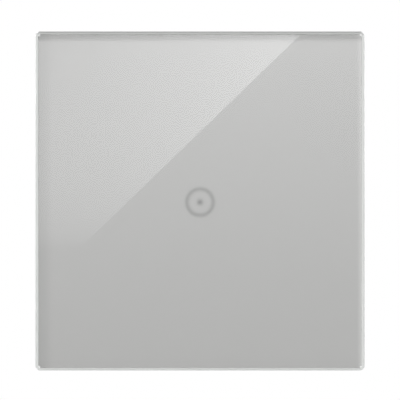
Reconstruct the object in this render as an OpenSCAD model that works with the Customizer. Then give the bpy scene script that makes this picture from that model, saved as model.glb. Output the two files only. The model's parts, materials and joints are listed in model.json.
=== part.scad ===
// Touch light switch: a glass front panel that plugs on to a flush relay module.
// Millimetres. X runs to the right, Y into the wall and Z up. The wall plane is Y = 0
// and the origin is the middle of the two box screw holes in the mounting plate.

/* [Glass panel] */
// Width of the glass panel
panel_w = 85; // [82:0.5:95]
// Height of the glass panel
panel_h = 87.5; // [84:0.5:98]
// Thickness of the glass
glass_t = 4; // [3:0.25:6]
// Leg of the ground bevel round the front face
glass_bevel = 0.8; // [0.4:0.1:1.4]
// Leg of the fine arris round the rear face
glass_arris = 0.3; // [0.1:0.1:0.6]
// Leg of the cut across each glass corner
corner_cut = 0.85; // [0.5:0.05:3]
// Height of the panel middle above the touch icon
panel_rise = 0.3; // [0:0.1:1]
// Thickness of the grey lacquer behind the glass
lacquer_t = 0.1; // [0.05:0.01:0.2]
// Bare glass left round the lacquer
lacquer_inset = 0.6; // [0.3:0.1:1.5]

/* [Touch icon] */
// Mean diameter of the icon ring
icon_ring_d = 6.8; // [5:0.1:8]
// Line width of the icon ring
icon_line = 0.75; // [0.4:0.05:1.2]
// Diameter of the icon dot
icon_dot_d = 1.2; // [0.8:0.1:2]

/* [Panel carrier] */
// Step in from the glass edge to the carrier edge
carrier_inset = 1; // [0.5:0.1:1.5]
// Thickness of the carrier web
web_t = 1.5; // [1.2:0.1:2.5]
// Wall of the carrier skirt
skirt_t = 1.5; // [1:0.1:2.5]
// Air between the skirt and the wall
wall_gap = 0.4; // [0.2:0.1:1]
// Width of the adhesive frame
tape_w = 9; // [5:0.5:12]
// Thickness of the adhesive frame
tape_t = 0.6; // [0.3:0.1:1]
// Diameter of the four plug pegs
peg_d = 2.9; // [2.4:0.1:3.2]
// Reach of the pegs behind the wall plane
peg_reach = 4; // [2:0.5:8]
// Width of the notch for levering the panel off
pry_w = 8; // [5:0.5:12]

/* [Mounting plate] */
// Side of the square mounting plate
plate_size = 71; // [68:0.5:74]
// Thickness of the mounting plate
plate_t = 1.2; // [0.8:0.1:2]
// Spacing of the box screws
box_spacing = 60; // [59:0.1:62]
// Diameter of the box screw holes
box_hole_d = 4; // [3.4:0.1:4.6]
// Length of the two levelling slots
slot_len = 9; // [6:0.5:14]

/* [Module housing] */
// Width of the module body
body_w = 42; // [41:0.5:44]
// Height of the module body
body_h = 46; // [45:0.5:48]
// Leg of the body corner chamfers
body_cut = 8; // [6:0.5:10]
// Wall of the housing
wall_t = 1.6; // [1.4:0.1:2]
// Thickness of the housing flange
flange_t = 1.2; // [1:0.1:2]
// Thickness of the front cover
cover_t = 1.2; // [1:0.1:1.8]

/* [Boards] */
// Gap from the front cover to the sensor board
sensor_gap = 2.2; // [1.5:0.1:4]
// Thickness of the sensor board
sensor_t = 1.2; // [0.8:0.1:1.6]
// Gap between the two boards
board_gap = 6.4; // [5.5:0.1:9]
// Thickness of the power board
power_t = 1.6; // [1:0.1:2]

/* [Electronics] */
// Length of the relay
relay_w = 18.4; // [18:0.2:20]
// Depth of the relay
relay_d = 10.2; // [10:0.2:12]
// Height of the relay on the power board
relay_h = 15; // [14:0.5:18]
// Thickness of the relay case
relay_wall = 0.7; // [0.5:0.05:0.9]
// Length of the filter capacitor
film_w = 13; // [11:0.5:14]
// Height of the filter capacitor
film_h = 11; // [8:0.5:14]
// Thickness of the filter capacitor
film_t = 5; // [4:0.5:6]
// Diameter of the bulk capacitor
bulk_d = 8; // [6:0.5:8]
// Height of the bulk capacitor
bulk_h = 12; // [9:0.5:14]
// Length of the fuse
fuse_w = 8.4; // [7:0.2:9]
// Height of the fuse
fuse_h = 7.5; // [6:0.5:9]
// Thickness of the fuse
fuse_t = 4.2; // [3:0.1:5]
// Diameter of the varistor disc
disc_d = 7.2; // [5:0.2:8]
// Thickness of the varistor disc
disc_t = 3.4; // [2.5:0.1:4]
// Diameter of the inductor
drum_d = 6; // [4:0.5:6]
// Height of the inductor
drum_h = 8; // [6:0.5:10]
// Pitch of the board connector pins
pin_pitch = 2.54; // [2:0.02:2.54]
// Side of the board connector pins
pin_s = 0.64; // [0.5:0.02:0.7]

/* [Touch spring] */
// Wire diameter of the touch spring
wire_d = 0.6; // [0.4:0.05:0.65]
// Turns of the touch spring
spring_turns = 3.5; // [2:0.5:3.5]

/* [Claws] */
// Radius of the claw screw shank
claw_screw_r = 1.5; // [1.25:0.05:1.75]
// Side of the square claw nut
nut_s = 4.8; // [4.4:0.1:5]
// Length of the claw guide behind the plate
guide_len = 24.5; // [23:0.5:27]
// Outward rise of the claw ramp for each millimetre forward
ramp = 0.5; // [0.3:0.05:0.55]
// Width of each claw
claw_w = 9.8; // [9:0.2:11]

/* [Terminals] */
// Pitch of the three terminals
term_pitch = 8.5; // [8.2:0.1:9.5]
// Radius of each wire entry
wire_r = 1.45; // [1.2:0.05:1.5]
// Radius of the terminal screw shanks
term_screw_r = 1.5; // [1.2:0.05:1.6]

/* [Hidden] */
$fn = 48;
rim = 2 - sqrt(2);
// Levels along Y, from the wall outwards and then inwards.
plate_front = -plate_t;
flange_front = plate_front - flange_t;
web_rear = flange_front - 1.4;
web_front = web_rear - web_t;
lacquer_rear = web_front - tape_t;
glass_rear = lacquer_rear - lacquer_t;
cover_rear = flange_front + cover_t;
sensor_front = cover_rear + sensor_gap;
sensor_rear = sensor_front + sensor_t;
power_front = sensor_rear + board_gap;
power_rear = power_front + power_t;
body_depth = power_rear + relay_h + 1.2 + wall_t;
skirt_rear = -wall_gap;
// Icon, light guide, spring and electrode share one axis.
ring_r = icon_ring_d / 2;
ring_ri = ring_r - icon_line / 2;
ring_ro = ring_r + icon_line / 2;
guide_ri = ring_ri - 0.3;
guide_ro = ring_ro + 0.3;
spring_ri = guide_ro + 0.6;
spring_r = spring_ri + wire_d / 2;
spring_ro = spring_ri + wire_d;
electrode_t = 0.4;
electrode_front = lacquer_rear + 0.05;
// Carrier.
carrier_w = panel_w - 2 * carrier_inset;
carrier_h = panel_h - 2 * carrier_inset;
web_hole_r = spring_ro + 7.5;
peg_r = peg_d / 2;
peg_x = body_w / 2 - body_cut / 2 + 1;
peg_z = body_h / 2 - body_cut / 2 + 1;
socket_r = peg_r + 0.05;
socket_ro = peg_r + 0.95;
// Housing outlines.
inner_w = body_w - 2 * wall_t;
inner_h = body_h - 2 * wall_t;
inner_cut = body_cut - wall_t * rim;
ledge = wall_t / 2;
seat_w = body_w - 2 * ledge;
seat_h = body_h - 2 * ledge;
seat_cut = body_cut - ledge * rim;
flange_w = body_w + 9;
flange_h = body_h + 5;
module_screw_x = body_w / 2 + 2.3;
module_screw_z = body_h * 0.3;
board_w = inner_w - 1.3;
board_h = inner_h - 1.3;
board_cut = inner_cut + 0.4;
post_x = board_w / 2 - 3.2;
post_z1 = board_h / 2 - 9.2;
post_z2 = -(board_h / 2 - 12.2);
stake_x = board_w / 2 - 5.2;
stake_z = board_h / 2 - 6.7;
// Small parts on the rear of the sensor board: a row along the foot and a column at each side.
small_t = 0.7;
small_x = stake_x - 1.55;
small_z = -(board_h / 2 - 6.75);
touch_chip_z = small_z + 6;
post_r = 2;
screw_head_r = 1.9;
header_x = -(board_w / 2 - 1.65);
header_z = (post_z1 + post_z2) / 2;
header_t = 2.5;
// Claws, drawn on the right and mirrored to the left.
claw_x = body_w / 2 + 4;
ramp_foot = body_w / 2 + 0.4;
rail_in = nut_s / 2 + 0.5;
claw_y0 = 17.7;
claw_flange = 1.2;
nut_t = 2.4;
claw_y1 = claw_y0 + 2 * claw_flange + nut_t + 0.2;
claw_in = claw_x + nut_s / 2 + 0.1;
claw_out = claw_in + 1;
guide_top_y = 12.5;
guide_top_x = ramp_foot + ramp * (guide_len - guide_top_y);
// Terminals, in heights above the rear face of the power board.
term_out = -body_h / 2;
term_d = 10.8;
term_in = term_out + term_d;
term_h = 12.2;
term_z = term_out + 5;
block_w = term_pitch - 0.1;
wire_wall = 1.6;
wire_h = 3.3;
bay_gap = 0.15;
bay_w = 3 * term_pitch + 2 * bay_gap;
bay_in = term_in + bay_gap;
// Parts on the power board: a lower row above the terminal bay, an upper row and the relay.
part_gap = 0.5;
row_1 = bay_in + wall_t + part_gap;
row_2 = row_1 + drum_d + part_gap;
film_x = header_x + pin_s / 2 + 0.8 + film_w / 2;
bulk_x = film_x + film_w / 2 + 1 + bulk_d / 2;
disc_x = board_w / 2 - 3.5 - disc_t / 2;
fuse_x = -post_x + post_r + part_gap + fuse_w / 2;
drum_x = post_x - post_r - part_gap - drum_d / 2;
bridge_w = 4.7;
bridge_x = post_x - screw_head_r - part_gap - bridge_w / 2;
relay_z = board_h / 2 - 1 - relay_d / 2;
relay_foot = 1.4;
contact_r = 1;
contact_x = relay_w / 2 - relay_wall - contact_r - 0.7;
yoke_t = 1.2;
yoke_x = -relay_w / 2 + 1;
yoke_w = relay_d - 3.2;
core_r = 1.6;
coil_r = relay_d / 2 - relay_wall - 0.2;
coil_x = yoke_x + yoke_t + coil_r + 0.2;
arm_y = relay_h - 3;
arm_t = 0.8;
arm_end = coil_x + 4;

// Rectangle with its four corners cut at 45 degrees.
function octagon(w, h, c) = [[-w / 2 + c, -h / 2], [w / 2 - c, -h / 2], [w / 2, -h / 2 + c],
    [w / 2, h / 2 - c], [w / 2 - c, h / 2], [-w / 2 + c, h / 2], [-w / 2, h / 2 - c],
    [-w / 2, -h / 2 + c]];

// Flat outline in X and Z, thickened along Y.
module slab(y0, y1) {
    translate([0, y1, 0]) rotate([90, 0, 0]) linear_extrude(height = y1 - y0) children();
}

// Round bar along Y.
module rod(r, y0, y1, x = 0, z = 0) {
    translate([x, y1, z]) rotate([90, 0, 0]) cylinder(r = r, h = y1 - y0);
}

// Tapered round bar along Y with its own radius at each end.
module taper(r0, r1, y0, y1, x = 0, z = 0) {
    translate([x, y1, z]) rotate([90, 0, 0]) cylinder(r1 = r1, r2 = r0, h = y1 - y0);
}

// Box between two corners.
module block(x0, x1, y0, y1, z0, z1) {
    translate([x0, y0, z0]) cube([x1 - x0, y1 - y0, z1 - z0]);
}

// Four places mirrored about X and Z.
module four(x, z) {
    for (sx = [-1, 1], sz = [-1, 1]) translate([sx * x, 0, sz * z]) children();
}

// Panel outline, lifted with the panel.
module panel_outline(w, h, c) {
    translate([0, panel_rise]) polygon(octagon(w, h, c));
}

// Surface mount chip standing on the plane Z = 0, with two rows of bent leads.
module gull_chip(leads, pitch, len, wid, high) {
    translate([-len / 2, -wid / 2, 0.15]) cube([len, wid, high]);
    for (i = [0:leads - 1], s = [-1, 1]) {
        x = (i - (leads - 1) / 2) * pitch;
        translate([x - 0.2, s * (wid / 2 + 0.1) - 0.2, 0]) cube([0.4, 0.4, 0.8]);
        translate([x - 0.2, s * (wid / 2 + 0.55) - 0.45, 0]) cube([0.4, 0.9, 0.2]);
    }
}

// Cross section of the glass across its width or height, extruded the other way.
module glass_prism(w) {
    f = glass_rear - glass_t;
    linear_extrude(height = 2 * (panel_w + panel_h), center = true) polygon([
        [-w / 2 + glass_arris, glass_rear], [-w / 2, glass_rear - glass_arris],
        [-w / 2, f + glass_bevel], [-w / 2 + glass_bevel, f], [w / 2 - glass_bevel, f],
        [w / 2, f + glass_bevel], [w / 2, glass_rear - glass_arris],
        [w / 2 - glass_arris, glass_rear]]);
}

module glass_panel() {
    diag = (panel_w + panel_h - 2 * corner_cut) / sqrt(2);
    color([0.78, 0.84, 0.84, 0.45]) translate([0, 0, panel_rise]) intersection() {
        glass_prism(panel_w);
        rotate([0, 90, 0]) glass_prism(panel_h);
        rotate([0, 45, 0]) glass_prism(diag);
        rotate([0, -45, 0]) glass_prism(diag);
    }
}

module back_lacquer() {
    color([0.73, 0.74, 0.74]) {
        difference() {
            slab(glass_rear, lacquer_rear) panel_outline(panel_w - 2 * lacquer_inset,
                panel_h - 2 * lacquer_inset, corner_cut);
            rod(ring_ro, glass_rear - 1, lacquer_rear + 1);
        }
        difference() {
            rod(ring_ri, glass_rear, lacquer_rear);
            rod(icon_dot_d / 2, glass_rear - 1, lacquer_rear + 1);
        }
    }
}

module icon_ring_window() {
    color([0.6, 0.61, 0.61]) difference() {
        rod(ring_ro, glass_rear, lacquer_rear);
        rod(ring_ri, glass_rear - 1, lacquer_rear + 1);
    }
}

module icon_dot_window() {
    color([0.56, 0.57, 0.57]) rod(icon_dot_d / 2, glass_rear, lacquer_rear);
}

module adhesive_frame() {
    w = carrier_w - 2;
    h = carrier_h - 2;
    color([0.16, 0.16, 0.17]) slab(lacquer_rear, web_front) difference() {
        panel_outline(w, h, corner_cut);
        panel_outline(w - 2 * tape_w, h - 2 * tape_w, corner_cut);
    }
}

module panel_carrier() {
    cut = corner_cut + 0.4;
    rib_x = carrier_w / 2 - skirt_t / 2 - peg_x;
    rib_z = carrier_h / 2 - skirt_t / 2 - peg_z;
    rib_len = sqrt(rib_x * rib_x + rib_z * rib_z);
    low = panel_rise - carrier_h / 2;
    color([0.82, 0.83, 0.83]) difference() {
        union() {
            slab(web_front, web_rear) panel_outline(carrier_w, carrier_h, cut);
            slab(web_front, skirt_rear) difference() {
                panel_outline(carrier_w, carrier_h, cut);
                panel_outline(carrier_w - 2 * skirt_t, carrier_h - 2 * skirt_t, cut);
            }
            rod(web_hole_r + 1.4, web_rear - 0.2, web_rear + 1);
            for (sx = [-1, 1], sz = [-1, 1]) {
                translate([sx * peg_x, 0, sz * peg_z])
                    rotate([0, -atan2(sz * rib_z, sx * rib_x), 0])
                        block(0, rib_len, web_rear - 0.2, web_rear + 1, -0.6, 0.6);
            }
            four(peg_x, peg_z) {
                rod(peg_r + 0.6, web_rear - 0.2, web_rear + 1);
                rod(peg_r, web_rear, peg_reach - 0.6);
                taper(peg_r, peg_r - 0.5, peg_reach - 0.6, peg_reach);
            }
        }
        rod(web_hole_r, web_front - 1, web_rear + 2);
        four(peg_x, peg_z) block(-0.3, 0.3, -0.5, peg_reach + 1, -3, 3);
        block(-pry_w / 2, pry_w / 2, skirt_rear - 1.2, skirt_rear + 1, low - 1, low + skirt_t + 1);
    }
}

// Opening in the plate that the module body and its peg sockets pass through.
module plate_opening() {
    slab(plate_front - 1, 1) polygon(octagon(body_w + 0.6, body_h + 0.6, body_cut));
    four(peg_x, peg_z) rod(socket_ro + 0.2, plate_front - 1, 1);
}

module mounting_plate() {
    r = 4;
    s = plate_size;
    color([0.72, 0.73, 0.74]) difference() {
        union() {
            block(-s / 2 + r, s / 2 - r, plate_front, 0, -s / 2, s / 2);
            block(-s / 2, s / 2, plate_front, 0, -s / 2 + r, s / 2 - r);
            four(s / 2 - r, s / 2 - r) rod(r, plate_front, 0);
        }
        plate_opening();
        for (k = [-1, 1]) {
            rod(box_hole_d / 2, plate_front - 1, 1, 0, k * box_spacing / 2);
            translate([k * box_spacing / 2, 0, 0]) {
                block(-1.9, 1.9, plate_front - 1, 1, -slot_len / 2 + 1.9, slot_len / 2 - 1.9);
                rod(1.9, plate_front - 1, 1, 0, slot_len / 2 - 1.9);
                rod(1.9, plate_front - 1, 1, 0, 1.9 - slot_len / 2);
            }
            rod(claw_screw_r + 0.2, plate_front - 1, 1, k * claw_x, 0);
            for (z = [-1, 1]) rod(0.85, plate_front - 1, 1, k * (claw_x - 1.6), z * (rail_in + 1));
            translate([k * s / 2, 0, 0]) block(-1.5, 1.5, plate_front - 1, 1, -3, 3);
            translate([0, 0, k * s / 2]) block(-3, 3, plate_front - 1, 1, -1.5, 1.5);
        }
        four(module_screw_x, module_screw_z) rod(1.3, plate_front - 1, 1);
        four(s / 2 - 5.5, s / 2 - 5.5) rod(1.6, plate_front - 1, 1);
    }
}

module module_housing() {
    bay_front = power_rear + 0.5;
    color([0.86, 0.86, 0.84]) difference() {
        union() {
            difference() {
                union() {
                    slab(flange_front, body_depth) polygon(octagon(body_w, body_h, body_cut));
                    slab(flange_front, plate_front) polygon(octagon(flange_w, flange_h, 6));
                    four(peg_x, peg_z) rod(socket_ro, flange_front, peg_reach + 1.2);
                }
                slab(cover_rear - 0.1, body_depth - wall_t)
                    polygon(octagon(inner_w, inner_h, inner_cut));
                slab(flange_front - 1, cover_rear) polygon(octagon(seat_w, seat_h, seat_cut));
            }
            block(-bay_w / 2 - wall_t, bay_w / 2 + wall_t, bay_front, body_depth, term_out,
                bay_in + wall_t);
            for (k = [-1, 1], z = [post_z1, post_z2])
                rod(post_r, power_rear, body_depth - wall_t / 2, k * post_x, z);
            for (k = [-1, 1], z = [-7, 0, 7])
                block(k * 9 - 5.5, k * 9 + 5.5, body_depth, body_depth + 0.6, z + 4.4, z + 5.6);
        }
        block(-bay_w / 2, bay_w / 2, power_rear - 0.1, body_depth + 2, term_out - 2, bay_in);
        for (k = [-1, 1], z = [post_z1, post_z2])
            rod(0.85, power_rear - 1, power_rear + 7, k * post_x, z);
        four(peg_x, peg_z) rod(socket_r, flange_front - 1, peg_reach + 0.4);
        for (k = [-1, 1]) rod(3.2, flange_front - 1, plate_front, k * claw_x, 0);
        four(module_screw_x, module_screw_z) rod(1.4, flange_front - 1, plate_front + 1);
    }
}

module module_screws() {
    color([0.8, 0.8, 0.82]) four(module_screw_x, module_screw_z) difference() {
        union() {
            rod(2.1, flange_front - 1.1, flange_front);
            rod(1.25, flange_front - 0.1, 1);
        }
        block(-1.4, 1.4, flange_front - 2, flange_front - 0.6, -0.3, 0.3);
        block(-0.3, 0.3, flange_front - 2, flange_front - 0.6, -1.4, 1.4);
    }
}

module front_cover() {
    color([0.2, 0.2, 0.21]) difference() {
        union() {
            slab(flange_front, cover_rear)
                polygon(octagon(seat_w - 0.2, seat_h - 0.2, seat_cut));
            four(stake_x, stake_z) rod(1.9, cover_rear - 0.2, sensor_front);
        }
        rod(spring_ro + 0.7, flange_front - 1, cover_rear + 1);
        four(stake_x, stake_z) rod(0.95, cover_rear - 0.6, sensor_front + 1);
    }
}

module sensor_board() {
    color([0.1, 0.33, 0.2]) difference() {
        slab(sensor_front, sensor_rear) polygon(octagon(board_w, board_h, board_cut));
        four(stake_x, stake_z) rod(1.1, sensor_front - 1, sensor_rear + 1);
        rod(wire_d / 2 + 0.1, sensor_front - 1, sensor_rear + 1, spring_r, 0);
    }
}

module sensor_screws() {
    color([0.78, 0.78, 0.8]) four(stake_x, stake_z) difference() {
        union() {
            rod(1.8, sensor_rear, sensor_rear + 1.1);
            rod(0.95, sensor_front - 1.6, sensor_rear + 0.1);
        }
        block(-1.2, 1.2, sensor_rear + 0.6, sensor_rear + 2, -0.25, 0.25);
        block(-0.25, 0.25, sensor_rear + 0.6, sensor_rear + 2, -1.2, 1.2);
    }
}

// Centre line of the touch spring: a straight leg, a quarter bend, the coil and a straight end.
rings_per_turn = 16;
bend_r = 1;
coil_y0 = sensor_front - wire_d - bend_r;
coil_y1 = electrode_front + electrode_t + wire_d * 1.6;
coil_a0 = asin(bend_r / spring_r);
coil_n = ceil(spring_turns * rings_per_turn);
coil = [for (i = [0:coil_n]) let(t = i / coil_n, a = coil_a0 + 360 * spring_turns * t)
    [spring_r * cos(a), coil_y0 + (coil_y1 - coil_y0) * t, spring_r * sin(a)]];
coil_a1 = coil_a0 + 360 * spring_turns;
end_a = coil_a1 + asin(0.7 * wire_d / spring_r);
spring_path = concat(
    [[spring_r, sensor_rear + 0.4, 0], [spring_r, sensor_front, 0]],
    [for (a = [0:22.5:67.5])
        [spring_r, coil_y0 + bend_r - bend_r * sin(a), bend_r - bend_r * cos(a)]],
    coil,
    [[spring_r * cos(end_a), coil_y1 - 0.5 * wire_d, spring_r * sin(end_a)],
        [spring_r * cos(end_a), coil_y1 - 1.6 * wire_d, spring_r * sin(end_a)]]);
// Least distance between wire points more than half a turn apart, less the wire.
last_point = len(spring_path) - 1;
spring_gap = min([for (i = [0:last_point], j = [i + rings_per_turn / 2:1:last_point])
    norm(spring_path[i] - spring_path[j])]) - wire_d;
echo(touch_spring_least_self_gap = spring_gap);

function unit(v) = v / norm(v);
function heading(p, i) = unit(i == 0 ? p[1] - p[0] : i == len(p) - 1 ? p[i] - p[i - 1]
    : unit(p[i] - p[i - 1]) + unit(p[i + 1] - p[i]));

// Round wire swept along a path of points, as one closed skin.
module wire(path, r, sides) {
    n = len(path);
    pts = [for (i = [0:n - 1]) let(d = heading(path, i),
            o = unit([path[i][0], 0, path[i][2]]), u = unit(o - d * (o * d)), v = cross(d, u))
        for (k = [0:sides - 1]) path[i] + r * (cos(360 * k / sides) * u + sin(360 * k / sides) * v)];
    skin = [for (i = [0:n - 2], k = [0:sides - 1]) let(m = (k + 1) % sides)
        each [[i * sides + k, (i + 1) * sides + k, i * sides + m],
            [i * sides + m, (i + 1) * sides + k, (i + 1) * sides + m]]];
    first = [for (k = [0:sides - 1]) k];
    last = [for (k = [sides - 1:-1:0]) (n - 1) * sides + k];
    polyhedron(points = pts, faces = concat(skin, [first, last]), convexity = 6);
}

module touch_spring() {
    color([0.78, 0.72, 0.55]) wire(spring_path, wire_d / 2, 6);
}

module electrode_ring() {
    color([0.8, 0.66, 0.38]) difference() {
        rod(spring_ro + 0.5, electrode_front, electrode_front + electrode_t);
        rod(guide_ro + 0.35, electrode_front - 1, electrode_front + electrode_t + 1);
    }
}

module light_guide() {
    top = sensor_front - lacquer_rear - 0.1;
    color([0.93, 0.94, 0.95]) translate([0, sensor_front, 0]) rotate([90, 0, 0]) {
        rotate_extrude() polygon([[0, 0.8], [guide_ro, 0.8], [guide_ro, top], [guide_ri, top],
            [guide_ri, 1.6], [icon_dot_d / 2 + 0.3, 1.6], [icon_dot_d / 2 + 0.3, top], [0, top]]);
        for (a = [45:90:315]) rotate([0, 0, a]) translate([ring_r, 0, 0])
            cylinder(r = 0.45, h = 1.2);
    }
}

module indicator_leds() {
    color([0.94, 0.92, 0.8]) {
        for (a = [0:90:270]) rotate([0, a, 0])
            block(ring_r - 0.4, ring_r + 0.4, sensor_front - 0.6, sensor_front, -0.8, 0.8);
        block(-0.8, 0.8, sensor_front - 0.6, sensor_front, -0.4, 0.4);
    }
}

module touch_chip() {
    color([0.13, 0.13, 0.14]) translate([0, sensor_rear, touch_chip_z]) rotate([-90, 0, 0])
        gull_chip(8, 1.27, 9.9, 3.9, 1.4);
}

module sensor_passives() {
    top = sensor_rear + small_t;
    color([0.62, 0.55, 0.42]) {
        for (i = [-3:3]) translate([i * 3, 0, small_z])
            block(-0.6, 0.6, sensor_rear, top, -1, 1);
        for (k = [-1, 1], i = [-1:1]) translate([k * small_x, 0, i * 3])
            block(-1, 1, sensor_rear, top, -0.6, 0.6);
    }
}

// Five square holes or pins of the board connector, in a column.
module header_row(s, y0, y1) {
    for (i = [-2:2]) translate([header_x, 0, header_z + i * pin_pitch])
        block(-s / 2, s / 2, y0, y1, -s / 2, s / 2);
}

// Plastic strip of the board connector.
module header_strip(t, y0, y1) {
    translate([header_x, 0, header_z])
        block(-t / 2, t / 2, y0, y1, -2.5 * pin_pitch, 2.5 * pin_pitch);
}

module board_header() {
    color([0.12, 0.12, 0.13]) difference() {
        header_strip(header_t, power_front - header_t, power_front);
        header_row(pin_s + 0.1, power_front - header_t - 1, power_front + 1);
    }
}

module header_pins() {
    color([0.85, 0.72, 0.4]) header_row(pin_s, sensor_rear + 0.6, power_rear + 0.9);
}

module board_socket() {
    top = power_front - header_t - 0.2;
    color([0.14, 0.14, 0.15]) difference() {
        header_strip(header_t, sensor_rear, top);
        header_row(pin_s + 0.1, sensor_rear + 0.5, top + 1);
    }
}

module power_board() {
    color([0.12, 0.36, 0.22]) difference() {
        slab(power_front, power_rear) polygon(octagon(board_w, board_h, board_cut));
        for (k = [-1, 1], z = [post_z1, post_z2])
            rod(1.2, power_front - 1, power_rear + 1, k * post_x, z);
        for (i = [-2:2])
            rod(pin_s * 0.78, power_front - 1, power_rear + 1, header_x, header_z + i * pin_pitch);
        for (i = [-1:1]) translate([i * term_pitch, 0, 0])
            block(-1.6, 1.6, power_front - 1, power_rear + 1, term_out + 8.6, term_out + 9.6);
    }
}

module power_screws() {
    color([0.78, 0.78, 0.8]) for (k = [-1, 1], z = [post_z1, post_z2])
        translate([k * post_x, 0, z]) difference() {
            union() {
                rod(screw_head_r, power_front - 1.2, power_front);
                rod(0.85, power_front - 0.1, power_rear + 5);
            }
            block(-1.3, 1.3, power_front - 2, power_front - 0.6, -0.25, 0.25);
            block(-0.25, 0.25, power_front - 2, power_front - 0.6, -1.3, 1.3);
        }
}

module converter_chip() {
    color([0.13, 0.13, 0.14]) translate([0, power_front, row_1 + drum_d / 2]) rotate([90, 0, 0])
        gull_chip(4, 1.27, 4.9, 3.9, 1.5);
}

module bridge_rectifier() {
    color([0.13, 0.13, 0.14]) translate([bridge_x, power_front, row_2]) rotate([90, 0, 0])
        gull_chip(2, 2.54, bridge_w, 3.9, 2.3);
}

module filter_capacitor() {
    z = row_2 + bulk_d / 2;
    color([0.85, 0.72, 0.2]) block(film_x - film_w / 2, film_x + film_w / 2, power_rear,
        power_rear + film_h, z - film_t / 2, z + film_t / 2);
}

module bulk_capacitor() {
    r = bulk_d / 2;
    color([0.16, 0.17, 0.2]) translate([bulk_x, power_rear, row_2 + r]) rotate([-90, 0, 0])
        rotate_extrude() polygon([[0, 0], [r, 0], [r, 1.2], [r - 0.4, 1.5], [r, 1.8],
            [r, bulk_h - 0.4], [r - 0.4, bulk_h], [0, bulk_h]]);
}

module fuse() {
    color([0.3, 0.2, 0.16]) block(fuse_x - fuse_w / 2, fuse_x + fuse_w / 2, power_rear,
        power_rear + fuse_h, row_1, row_1 + fuse_t);
}

module varistor() {
    lead = 0.8;
    color([0.16, 0.32, 0.55]) translate([disc_x, power_rear, row_2 + bulk_d / 2]) {
        translate([-disc_t / 2, lead + disc_d / 2, 0]) rotate([0, 90, 0])
            cylinder(r = disc_d / 2, h = disc_t);
        for (k = [-1, 1]) rod(0.35, 0, lead + disc_d / 3, 0, k * disc_d * 0.3);
    }
}

module inductor() {
    r = drum_d / 2;
    color([0.5, 0.3, 0.18]) translate([drum_x, power_rear, row_1 + r]) rotate([-90, 0, 0])
        rotate_extrude() polygon([[0, 0], [r, 0], [r, 1], [r - 0.6, 1], [r - 0.6, drum_h - 1],
            [r, drum_h - 1], [r, drum_h], [0, drum_h]]);
}

// Relay pieces are drawn from the middle of the relay foot, with Y up from the power board.
module at_relay() {
    translate([0, power_rear, relay_z]) children();
}

// Box as wide and deep as the relay, less a margin all round.
module relay_block(margin, y0, y1) {
    w = relay_w / 2 - margin;
    d = relay_d / 2 - margin;
    block(-w, w, y0, y1, -d, d);
}

module relay_base() {
    color([0.15, 0.15, 0.16]) at_relay() relay_block(0, 0, relay_foot);
}

module relay_cover() {
    color([0.2, 0.36, 0.6]) at_relay() difference() {
        relay_block(0, relay_foot, relay_h);
        relay_block(relay_wall, 0, relay_h - relay_wall);
    }
}

module relay_coil() {
    low = relay_foot + yoke_t;
    high = arm_y - 1.4;
    color([0.72, 0.4, 0.2]) at_relay() translate([coil_x, 0, 0]) difference() {
        union() {
            rod(coil_r - 0.4, low, high);
            rod(coil_r, low, low + 0.6);
            rod(coil_r, high - 0.6, high);
        }
        rod(core_r + 0.05, low - 1, high + 1);
    }
}

module relay_yoke() {
    color([0.66, 0.67, 0.68]) at_relay() {
        block(yoke_x, yoke_x + yoke_t, relay_foot, arm_y - 0.1, -yoke_w / 2, yoke_w / 2);
        block(yoke_x, coil_x + 3, relay_foot, relay_foot + yoke_t - 0.1, -yoke_w / 2, yoke_w / 2);
        rod(core_r, relay_foot + 0.5, arm_y - 1, coil_x, 0);
    }
}

module relay_fixed_contact() {
    color([0.8, 0.62, 0.4]) at_relay() translate([contact_x, 0, 0]) {
        block(-0.8, 0.8, relay_foot, arm_y - 2.2, -1.5, 1.5);
        rod(contact_r, arm_y - 2.4, arm_y - 1.4);
    }
}

module relay_armature() {
    w = yoke_w / 2 - 0.3;
    color([0.64, 0.65, 0.66]) at_relay() block(yoke_x, arm_end, arm_y, arm_y + arm_t, -w, w);
}

module relay_moving_contact() {
    top = arm_y + arm_t;
    color([0.82, 0.64, 0.42]) at_relay() {
        block(coil_x - 3.4, contact_x + contact_r + 0.1, top, top + 0.2, -1.6, 1.6);
        rod(contact_r, arm_y, top + 0.1, contact_x, 0);
    }
}

// Ramp of the claw guide, as the X of its face at a given Y.
function ramp_x(y) = ramp_foot + ramp * (guide_len - y);

module claw_guide() {
    color([0.84, 0.84, 0.82]) {
        difference() {
            linear_extrude(height = claw_w, center = true) polygon([[body_w / 2, 0],
                [guide_top_x, 0], [guide_top_x, guide_top_y], [ramp_foot, guide_len],
                [body_w / 2, guide_len]]);
            block(body_w / 2 + 0.6, guide_top_x + 9, 1.5, guide_len + 1, -rail_in, rail_in);
            rod(claw_screw_r + 0.2, -1, 3, claw_x, 0);
        }
        for (k = [-1, 1]) rod(0.8, plate_front + 0.1, 0.4, claw_x - 1.6, k * (rail_in + 1));
    }
}

module claw_screw() {
    color([0.8, 0.8, 0.82]) translate([claw_x, 0, 0]) difference() {
        union() {
            rod(2.75, plate_front - 2, plate_front);
            rod(claw_screw_r, plate_front - 0.1, guide_len + 0.5);
        }
        block(-1.8, 1.8, plate_front - 3, plate_front - 1, -0.4, 0.4);
        block(-0.4, 0.4, plate_front - 3, plate_front - 1, -1.8, 1.8);
    }
}

module claw_clip() {
    color([0.5, 0.51, 0.53]) difference() {
        rod(rail_in - 0.25, 1.6, 2.2, claw_x, 0);
        rod(claw_screw_r, 1, 3, claw_x, 0);
    }
}

module claw_nut() {
    y = claw_y0 + claw_flange + 0.1;
    color([0.74, 0.72, 0.62]) difference() {
        block(claw_x - nut_s / 2, claw_x + nut_s / 2, y, y + nut_t, -nut_s / 2, nut_s / 2);
        rod(claw_screw_r + 0.05, y - 1, y + nut_t + 1, claw_x, 0);
    }
}

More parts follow.
